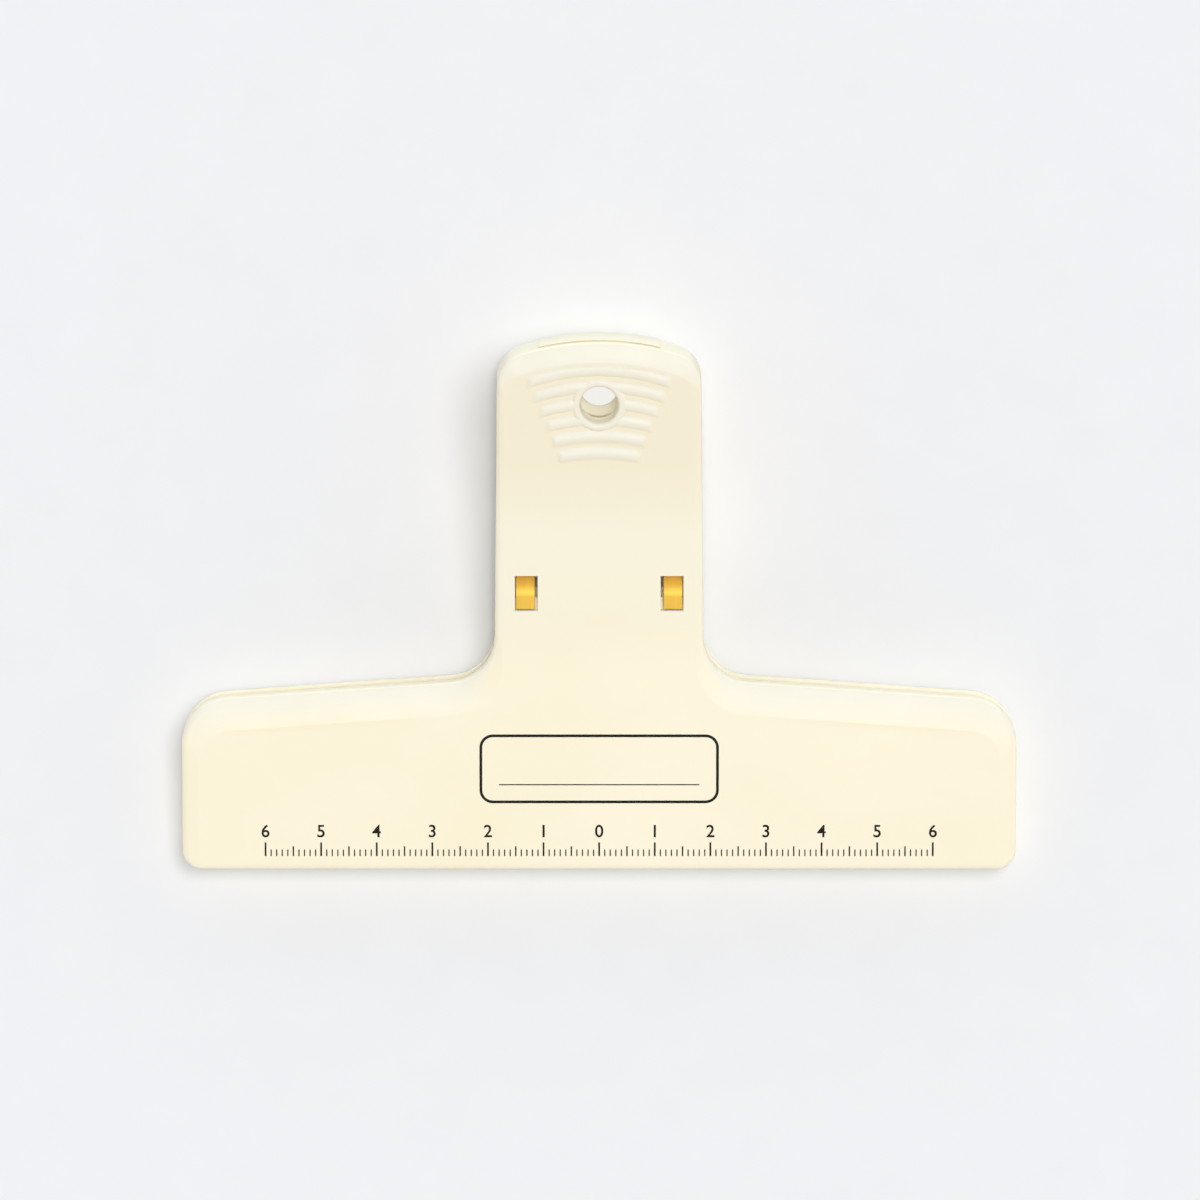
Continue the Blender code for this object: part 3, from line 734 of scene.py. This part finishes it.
def pivotLugs():  # nose on the +x side and socket on the -x side, in the plane of the rim
    half = lug["half"]
    shoulder = half * math.tan(lug["openAngle"]) - lug["socketEdge"] + lug["gap"]
    socketRadius = lug["nose"] + lug["gap"]
    edgeTurn = math.asin(lug["socketEdge"] / socketRadius)

    def beside(forward, reach):  # from the pivot to (y, z) in the flat plate
        return np.column_stack(fromMiddle(plate["pivot"] + np.atleast_1d(forward), np.atleast_1d(reach)))

    def arc(radius, start, end):
        angle = np.linspace(start, end, lug["arcSteps"] + 1)
        return beside(radius * np.cos(angle), radius * np.sin(angle))

    def outline(shape):  # closed by two points in the plate's wall
        nearRoot, farRoot = (beside(side * lug["rootHalf"], 0.0) for side in (-1, 1))
        nearRoot[:, 1] = farRoot[:, 1] = plate["wall"] - plate["sunk"]
        return np.concatenate([nearRoot, *shape, farRoot])

    nose = outline([beside(-half, shoulder), beside(-lug["nose"], shoulder),
                    arc(lug["nose"], math.pi, 2.0 * math.pi),
                    beside(lug["nose"], shoulder), beside(half, shoulder)])
    socket = outline([beside(-half, lug["socketEdge"]), arc(socketRadius, math.pi - edgeTurn, edgeTurn),
                      beside(half, lug["socketEdge"])])
    return joined([bevelled(*prismX(nose, lug["inner"], lug["outer"]), lug["bevel"]),
                   bevelled(*prismX(socket, -lug["outer"], -lug["inner"]), lug["bevel"])])


endStep = {
    "half": 10.85,
    "proud": 0.25,
    "sunk": 1.0,
    "low": 2.15,
    "groove": 2.7,          # a fine groove parts the strip from the bevel above it
    "high": 7.65,
    "steps": 48,
    "bevel": 0.06,
}


def handleStep(length):  # strip that stands proud of the end wall over its middle
    radius = plate["endRadius"]
    centre = yWay * (length - radius)
    section = np.array([(-endStep["sunk"], endStep["groove"]), (0.0, endStep["groove"]),
                        (endStep["proud"], endStep["low"]), (endStep["proud"], endStep["high"]),
                        (-endStep["sunk"], endStep["high"])])
    stations = []
    for angle in np.linspace(-1.0, 1.0, endStep["steps"] + 1) * math.asin(endStep["half"] / radius):
        way = np.array([math.sin(angle), math.cos(angle), 0.0])
        stations.append((centre + radius * way, way, zWay))
    return bevelled(*swept(section, stations), endStep["bevel"])


# Painted light and shade on the plastic, kept as a point attribute: 0 painted shade in the crease, 0.5 face,
# 1 painted highlight on bevels and bar crowns towards the handle, 1.5 painted light on the bore of the
# hanging hole and on walls towards the handle

paintedTone = {                    # where each blend starts and ends, in millimetres or in parts of a normal
    "handleward": (0.05, 0.25),
    "outwards": (0.2, 0.5),
    "bevelAbove": (-2.3, -2.0),
    "barCrown": (0.22, 0.4),
    "barShare": 0.8,
    "creaseWidth": (-0.4, -0.1),
    "creaseFrom": (26.0, 44.0),
    "creaseTo": (-72.0, -60.0),
    "creaseShare": 0.35,
    "faceDepth": 0.1,
    "boreRadius": (-6.0, -5.6),
    "boreDepth": (0.0, 1.0),
    "wallNormal": (0.5, 0.8),
    "wallDepth": (0.8, 1.6),
    "endWall": (90.0, 92.0),
    "wingTop": (-2.2, -1.6),
    "besideStem": (17.0, 18.0),
}


# Painted light and shade for each point of a plate, from its normals and its place
def paleness(points, faces):
    mesh = makeMesh("flatPlate", points, faces)
    normal = np.empty(len(points) * 3)
    mesh.vertex_normals.foreach_get("vector", normal)
    bpy.data.meshes.remove(mesh)
    handleward, outwards = normal[1::3], -normal[2::3]
    across, along, depth = np.abs(points[:, 0]), points[:, 1], points[:, 2]
    # painted highlight on bevels that face the handle and outwards
    slope = smooth(handleward, *paintedTone["handleward"]) * smooth(outwards, *paintedTone["outwards"])
    slope = slope * smooth(-depth, *paintedTone["bevelAbove"])
    # painted highlight on the crowns of the grip bars
    crown = paintedTone["barShare"] * smooth(-depth, *paintedTone["barCrown"])
    # painted shade along the faint crease in the wings' bevel
    crease = -np.abs(wingHeight(across) - along - bevel["crease"] * bevelWidth["top"])
    crease = smooth(crease, *paintedTone["creaseWidth"]) * smooth(across, *paintedTone["creaseFrom"])
    crease = crease * smooth(-across, *paintedTone["creaseTo"]) * (depth < paintedTone["faceDepth"])
    paintedLevel = 0.5 + 0.5 * np.maximum(slope, crown) - paintedTone["creaseShare"] * crease
    # painted light on the bore of the hanging hole, which lies in shade
    bore = smooth(-np.hypot(across, along - eyelet["place"]), *paintedTone["boreRadius"])
    bore = bore * smooth(depth, *paintedTone["boreDepth"])
    # painted light on walls facing the handle, which lie in shade: the end wall and the wings' tops beside
    # the stem
    wingTop = smooth(along - wingHeight(across), *paintedTone["wingTop"]) * smooth(across, *paintedTone["besideStem"])
    wall = np.maximum(smooth(along, *paintedTone["endWall"]), wingTop)
    wall = wall * smooth(handleward, *paintedTone["wallNormal"]) * smooth(depth, *paintedTone["wallDepth"])
    return paintedLevel + (1.5 - paintedLevel) * np.maximum(bore, wall)


def makePlate(name, body, length):
    points, faces = joined([cutPlate(*plateShell(length)), eyeletRing(), plateRibs(length),
                            pivotLugs(), handleStep(length)])
    piece = makeObject(name, placed(points, body), faces)
    # the point attribute of painted light and shade that the plastic's material reads
    attribute = piece.data.attributes.new("paleness", "FLOAT", "POINT")
    attribute.data.foreach_set("value", paleness(points, faces).astype(np.float32))
    shadeSmooth(piece, plate["sharpAngle"])
    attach(piece, body)
    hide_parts(body + "_plate")
    print(name, len(piece.data.polygons), "faces")
    return piece


# Spring

spring = {
    "strip": 0.7,
    "half": 14.95,
    "prongInner": 11.5,
    "sink": 0.2,            # depth of the prongs' tips below the face
    "armClearance": 0.5,
    "tipGap": 0.3,
    "diveStart": 0.45,
    "diveShare": 0.8,       # a prong leaves the window's end at this share of its dive
    "flatSteps": 6,
    "diveSteps": 28,
    "arcSteps": 48,
    "edge": 0.16,
    "edgeSteps": 4,
    "bendHalf": 4.0,        # the strip bends between the two plates within this of the pivot
    "sharpAngle": math.radians(40.0),
}


def springLine():
    # Middle of the strip, from one tip to the other: a flat tip, a cosine dive, an arm and an arc.
    # Returns (distance, height) about the middle plane, and the number of the dive's last point.
    strip = spring["strip"]
    tipDepth = spring["sink"] + 0.5 * strip
    armDepth = plate["wall"] + spring["armClearance"] + 0.5 * strip
    diveFrom = window["start"] + window["shelf"] + spring["diveStart"]
    diveTo = diveFrom + (window["start"] + window["length"] - diveFrom) / spring["diveShare"]
    flatY = np.linspace(window["start"] + spring["tipGap"], diveFrom, spring["flatSteps"] + 1)[:-1]
    share = evenly(spring["diveSteps"])
    diveY = diveFrom + (diveTo - diveFrom) * share
    diveDepth = tipDepth + (armDepth - tipDepth) * 0.5 * (1.0 - np.cos(math.pi * share))
    depth = np.concatenate([np.full(len(flatY), tipDepth), diveDepth])
    arm = np.column_stack(toMiddle(np.concatenate([flatY, diveY]), depth))
    radius = fromMiddle(plate["pivot"], 0.0)[1] - armDepth
    start = 0.5 * math.pi + plate["wingAngle"] + plate["crankAngle"]
    angle = start * (1.0 - evenly(spring["arcSteps"]))
    upper = np.concatenate([arm, radius * circlePoints(angle) + (plate["pivot"], 0.0)])
    lower = upper[:-1][::-1] * np.array([1.0, -1.0])
    return np.concatenate([upper, lower]), len(arm)


def sweptStrip(line, low, high):  # flat strip with rounded edges, from low to high across
    section = roundedBox(high - low, spring["strip"], spring["edge"], spring["edgeSteps"])
    section[:, 0] += 0.5 * (low + high)
    along = np.gradient(line, axis=0)
    along /= np.linalg.norm(along, axis=1)[:, None]
    stations = [(np.array([0.0, *place]), xWay, np.array([0.0, -way[1], way[0]]))
                for place, way in zip(line, along)]
    return swept(section, stations)


def makeSpring():
    line, dive = springLine()
    half, inner = spring["half"], spring["prongInner"]
    parts = [sweptStrip(line[dive - 1:len(line) - dive + 1], -half, half)]
    for low, high in ((-half, -inner), (inner, half)):
        parts.append(sweptStrip(line[:dive], low, high))
        parts.append(sweptStrip(line[-dive:], low, high))
    points, faces = joined(parts)
    piece = makeObject("springStrip", fromMiddlePlane(*points.T), faces)
    shadeSmooth(piece, spring["sharpAngle"])
    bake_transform(piece)
    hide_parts("spring")
    print("spring", len(piece.data.polygons), "faces")
    return piece


# Print on the front: a scale from the middle of the jaw, and an empty label frame

artwork = {
    "ink": 0.02,            # stands this far above the face
    "sunk": 0.10,
    "scaleFrom": 2.6,       # jaw edge to the foot of the ticks
    "scaleHalf": 60,
    "ticks": {1: (1.2, 0.22), 5: (1.8, 0.26), 10: (2.5, 0.32)},    # every so many mm: length and width
    "numberFoot": 6.1,
    "numberSize": 3.2,
    "numberWeight": 0.04,   # drawn this much bolder
    "numberEvery": 10,
    "weld": 0.0001,
    "frame": (0.0, 18.6, 43.0, 12.6),       # middle, width and height
    "frameLine": 0.50,
    "frameCorner": 2.4,
    "cornerSteps": 12,
    "ruleHeight": 15.6,     # one fine line to write on
    "ruleHalf": 18.0,
    "ruleLine": 0.20,
}


def inkBand(outer, inner):  # closed band between two outlines of the same count
    top, bottom = artwork["ink"], -artwork["sunk"]
    points = np.concatenate([stacked(outer, (top, bottom)), stacked(inner, (bottom, top))])
    rows = np.arange(len(points)).reshape(-1, len(outer))
    return outward(points, wallFaces([*rows, rows[0]]))


def inkBlock(low, high):
    return prismZ([low, (high[0], low[1]), high, (low[0], high[1])], -artwork["sunk"], artwork["ink"])


def inkNumber(number, x):
    text = bpy.data.curves.new("number", "FONT")
    text.body = str(number)
    text.size = artwork["numberSize"]
    text.align_x = "CENTER"
    text.offset = artwork["numberWeight"]
    text.extrude = 0.5 * (artwork["ink"] + artwork["sunk"])
    lift = artwork["ink"] - text.extrude
    mesh = evaluated(linked("number", text))
    solid = bmesh.new()
    solid.from_mesh(mesh)
    bmesh.ops.remove_doubles(solid, verts=solid.verts[:], dist=artwork["weld"])
    solid.to_mesh(mesh)
    solid.free()
    points, faces = meshArrays(mesh)
    return points + np.array([x, artwork["numberFoot"], lift]), faces


def makePrint():
    parts = []
    foot = artwork["scaleFrom"]
    for x in range(-artwork["scaleHalf"], artwork["scaleHalf"] + 1):
        length, width = artwork["ticks"][max(step for step in artwork["ticks"] if x % step == 0)]
        parts.append(inkBlock((x - 0.5 * width, foot), (x + 0.5 * width, foot + length)))
        if x % artwork["numberEvery"] == 0:
            parts.append(inkNumber(abs(x) // artwork["numberEvery"], x))
    x, y, width, height = artwork["frame"]
    line, corner, count = artwork["frameLine"], artwork["frameCorner"], artwork["cornerSteps"]
    outer = roundedBox(width, height, corner, count)
    inner = roundedBox(width - 2.0 * line, height - 2.0 * line, corner - line, count)
    parts.append(inkBand(outer + (x, y), inner + (x, y)))
    rule, half = artwork["ruleHeight"], artwork["ruleHalf"]
    parts.append(inkBlock((-half, rule), (half, rule + artwork["ruleLine"])))
    points, faces = joined(parts)
    piece = makeObject("print", placed(points * np.array([-1.0, 1.0, -1.0]), "front"), faces)
    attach(piece, "front")
    print("print", len(faces), "faces")
    return piece


# Materials

def linear(red, green, blue):  # screen values 0 to 255 to the renderer's own, by the sRGB curve
    values = np.array([red, green, blue]) / 255.0
    values = np.where(values <= 0.04045, values / 12.92, ((values + 0.055) / 1.055) ** 2.4)
    return (*[float(value) for value in values], 1.0)


def wired(tree, node, sockets):  # each socket takes a value, or another node's output
    for socket, value in sockets.items():
        if isinstance(value, bpy.types.NodeSocket):
            tree.links.new(value, node.inputs[socket])
        else:
            node.inputs[socket].default_value = value
    return node


def added(tree, kind, sockets, **settings):
    node = tree.nodes.new("ShaderNode" + kind)
    for key, value in settings.items():
        setattr(node, key, value)
    return wired(tree, node, sockets)


def makeMaterial(name, fill):
    material = bpy.data.materials.new(name)
    material.use_nodes = True
    fill(material.node_tree, material.node_tree.nodes["Principled BSDF"])
    return material


def noise(tree, scale, detail, stretch=(1.0, 1.0, 1.0)):
    place = added(tree, "TexCoord", {}).outputs["Object"]
    mapping = added(tree, "Mapping", {"Vector": place, "Scale": stretch})
    sockets = {"Vector": mapping.outputs["Vector"], "Scale": scale, "Detail": detail}
    return added(tree, "TexNoise", sockets).outputs["Fac"]


def ramp(tree, source, reach, colours):  # the source's reach goes from the first colour to the second
    node = added(tree, "ValToRGB", {"Fac": source})
    for element, position, colour in zip(node.color_ramp.elements, reach, colours):
        element.position = position
        element.color = colour
    return node.outputs["Color"]


def mapped(tree, source, reach, result=(0.0, 1.0)):  # the source's reach goes to the result's
    ends = {"From Min": reach[0], "From Max": reach[1], "To Min": result[0], "To Max": result[1]}
    return added(tree, "MapRange", {"Value": source, **ends}).outputs["Result"]


def bump(tree, source, strength, distance):
    sockets = {"Height": source, "Strength": strength, "Distance": distance}
    return added(tree, "Bump", sockets).outputs["Normal"]


def combined(tree, operation, first, second):
    return added(tree, "Math", {0: first, 1: second}, operation=operation).outputs["Value"]


def mixSurfaces(tree, factor, first, second, output):
    mixed = added(tree, "MixShader", {0: factor, 1: first, 2: second})
    wired(tree, tree.nodes[output], {"Surface": mixed.outputs["Shader"]})


noiseReach = (0.3, 0.7)     # most of a noise lies between these
ivory = {
    "flow": (28.0, 3.0, (1.0, 1.6, 1.0)),   # noises: scale, detail and stretch
    "sheen": (240.0, 4.0),
    "grain": (1400.0, 3.0),
    "grainBump": (0.06, 0.05 * mm),         # strength and distance
    "colours": (linear(249, 239, 208), linear(251, 243, 216)),
    "paintedShadingAlong": [            # from y to y in the frame, in metres, and the colour beyond; painted to follow how the plate's faces tilt to the light
        ((-0.012, 0.006), linear(249, 242, 217)),
        ((0.012, 0.024), linear(245, 235, 208)),    # painted shade: the handle's face darker, as it tilts away from the light
    ],
    "byPaintedTone": [             # from painted tone to painted tone, and the colour there
        # painted shade in the crease
        ((0.5, 0.0), linear(248, 236, 203)),
        # painted highlight, paler and less yellow, on bevels and bar crowns
        ((0.5, 1.0), linear(241, 236, 218)),
        # painted light on the bore of the hanging hole and on walls in shade
        ((1.0, 1.5), linear(253, 249, 225)),
    ],
    "roughness": (0.42, 0.52),
    "specular": 0.3,
}


def ivoryPlastic(tree, shader):
    place = added(tree, "TexCoord", {}).outputs["Object"]
    along = added(tree, "SeparateXYZ", {"Vector": place}).outputs["Y"]
    # painted light and shade: the point attribute and the place along the plate shift the colour
    paintedLevel = added(tree, "Attribute", {}, attribute_name="paleness").outputs["Fac"]
    colour = ramp(tree, noise(tree, *ivory["flow"]), noiseReach, ivory["colours"])
    for source, blends in ((along, ivory["paintedShadingAlong"]), (paintedLevel, ivory["byPaintedTone"])):
        for reach, beyond in blends:
            sockets = {"Factor": mapped(tree, source, reach), "A": colour, "B": beyond}
            colour = added(tree, "Mix", sockets, data_type="RGBA").outputs["Result"]
    roughness = mapped(tree, noise(tree, *ivory["sheen"]), noiseReach, ivory["roughness"])
    normal = bump(tree, noise(tree, *ivory["grain"]), *ivory["grainBump"])
    wired(tree, shader, {"Base Color": colour, "Roughness": roughness, "Normal": normal,
                         "Specular IOR Level": ivory["specular"]})


brass = {
    "noise": (500.0, 4.0, (4.0, 0.4, 0.4)),     # streaks across the strip
    "reach": noiseReach,
    "colours": (linear(218, 178, 74), linear(231, 191, 83)),
    "roughness": (0.57, 0.67),
    "bump": (0.10, 0.02 * mm),
    "metallic": 0.8,
}
ink = {
    "noise": (900.0, 3.0),
    "reach": (0.25, 0.75),
    "colours": (linear(12, 11, 8), linear(26, 23, 17)),
    "roughness": (0.40, 0.60),
    "specular": 0.15,
}


def patterned(tree, shader, look):  # one noise gives the colour and the roughness
    pattern = noise(tree, *look["noise"])
    wired(tree, shader, {"Base Color": ramp(tree, pattern, look["reach"], look["colours"]),
                         "Roughness": mapped(tree, pattern, noiseReach, look["roughness"])})
    return pattern


def brassPlate(tree, shader):
    streaks = patterned(tree, shader, brass)
    wired(tree, shader, {"Metallic": brass["metallic"], "Normal": bump(tree, streaks, *brass["bump"])})


def printInk(tree, shader):
    patterned(tree, shader, ink)
    wired(tree, shader, {"Specular IOR Level": ink["specular"]})


# Floor, light and camera

paper = {
    "half": 3.0,
    "grain": (90.0, 2.0),
    "grainReach": (0.2, 0.8),
    "colours": (linear(236, 236, 236), linear(238, 238, 238)),
    "roughness": 0.9,
    # painted light: a patch of the floor that glows for the camera only
    "glowPatchPlace": (0.0, 36.5 * mm, 0.0),         # under the hanging hole
    "glowPatchReach": (5.5 * mm, 4.5 * mm),
    "glowPatchColour": linear(242, 240, 235),
}


def floorPaper(tree, shader):
    grain = noise(tree, *paper["grain"])
    wired(tree, shader, {"Base Color": ramp(tree, grain, paper["grainReach"], paper["colours"]),
                         "Roughness": paper["roughness"]})
    # painted light: for camera rays a round patch of the floor under the hanging hole glows with a pale
    # colour, where no lamp reaches and the clip's shadow falls
    place = added(tree, "TexCoord", {}).outputs["Object"]
    away = added(tree, "VectorMath", {0: place, 1: paper["glowPatchPlace"]}, operation="DISTANCE")
    within = mapped(tree, away.outputs["Value"], paper["glowPatchReach"])
    camera = added(tree, "LightPath", {}).outputs["Is Camera Ray"]
    glow = added(tree, "Emission", {"Color": paper["glowPatchColour"]})
    mixSurfaces(tree, combined(tree, "MULTIPLY", within, camera),
                shader.outputs["BSDF"], glow.outputs["Emission"], "Material Output")


def makeFloor():
    half = paper["half"]
    corners = [(-half, -half, 0.0), (half, -half, 0.0), (half, half, 0.0), (-half, half, 0.0)]
    floor = makeObject("floor", corners, [[0, 1, 2, 3]])
    floor.data.materials.append(makeMaterial("floorPaper", floorPaper))


studio = {
    "suns": (               # way to the lamp, angle and strength; a little from the upper right
        ("overhead", (0.020, 0.010, 1.0), math.radians(6.0), 0.58),
        ("key", (0.155, 0.100, 1.0), math.radians(24.0), 1.36),
    ),
    "skyStrength": 0.27,
    "horizonStrength": (0.72, 1.22),        # the tent round the table, at the picture's foot and head
    "horizonHeight": (0.25, 0.7),
    "worldColour": (0.97, 0.99, 1.05, 1.0),
    "seenStrength": (0.80, 0.88),           # what gloss sees of the world, and what the camera does
    "seenColour": (1.0, 1.0, 1.0, 1.0),
}


def makeSuns():
    for name, (x, y, z), angle, strength in studio["suns"]:
        sun = bpy.data.lights.new(name, "SUN")
        sun.angle = angle
        sun.energy = strength
        lamp = linked(name, sun)
        lamp.rotation_euler = (math.atan2(math.hypot(x, y), z), 0.0, math.atan2(y, x) + 0.5 * math.pi)


def makeWorld():
    world = bpy.data.worlds.new("studio")
    world.use_nodes = True
    tree = world.node_tree
    way = added(tree, "TexCoord", {}).outputs["Generated"]
    parted = added(tree, "SeparateXYZ", {"Vector": way})
    horizon = mapped(tree, parted.outputs["Y"], (-1.0, 1.0), studio["horizonStrength"])
    strength = mapped(tree, parted.outputs["Z"], studio["horizonHeight"], (horizon, studio["skyStrength"]))
    lit = wired(tree, tree.nodes["Background"], {"Color": studio["worldColour"], "Strength": strength})
    path = added(tree, "LightPath", {})
    camera, gloss = path.outputs["Is Camera Ray"], path.outputs["Is Glossy Ray"]
    seenStrength = mapped(tree, camera, (0.0, 1.0), studio["seenStrength"])
    seen = added(tree, "Background", {"Color": studio["seenColour"], "Strength": seenStrength})
    mixSurfaces(tree, combined(tree, "MAXIMUM", camera, gloss),
                lit.outputs["Background"], seen.outputs["Background"], "World Output")
    bpy.context.scene.world = world


view = {
    "height": 2.0,
    "shift": 0.15 * mm,
    "width": 0.216,         # width of the picture at the height of the jaw
    "level": 0.009,
    "sensor": 36.0,
}


def makeCamera():
    lens = bpy.data.cameras.new("camera")
    lens.sensor_width = view["sensor"]
    lens.lens = view["sensor"] * (view["height"] - view["level"]) / view["width"]
    camera = linked("camera", lens)
    camera.location = (view["shift"], 0.0, view["height"])
    bpy.context.scene.camera = camera
    bpy.context.scene.view_settings.view_transform = "Standard"


makeCamera()
makeSuns()
makeWorld()
makeFloor()
print("studio set")

plastic = makeMaterial("ivoryPlastic", ivoryPlastic)
makePlate("frontShell", "front", plate["length"]).data.materials.append(plastic)
makePlate("backShell", "back", plate["backLength"]).data.materials.append(plastic)
makeSpring().data.materials.append(makeMaterial("brassPlate", brassPlate))
makePrint().data.materials.append(makeMaterial("printInk", printInk))
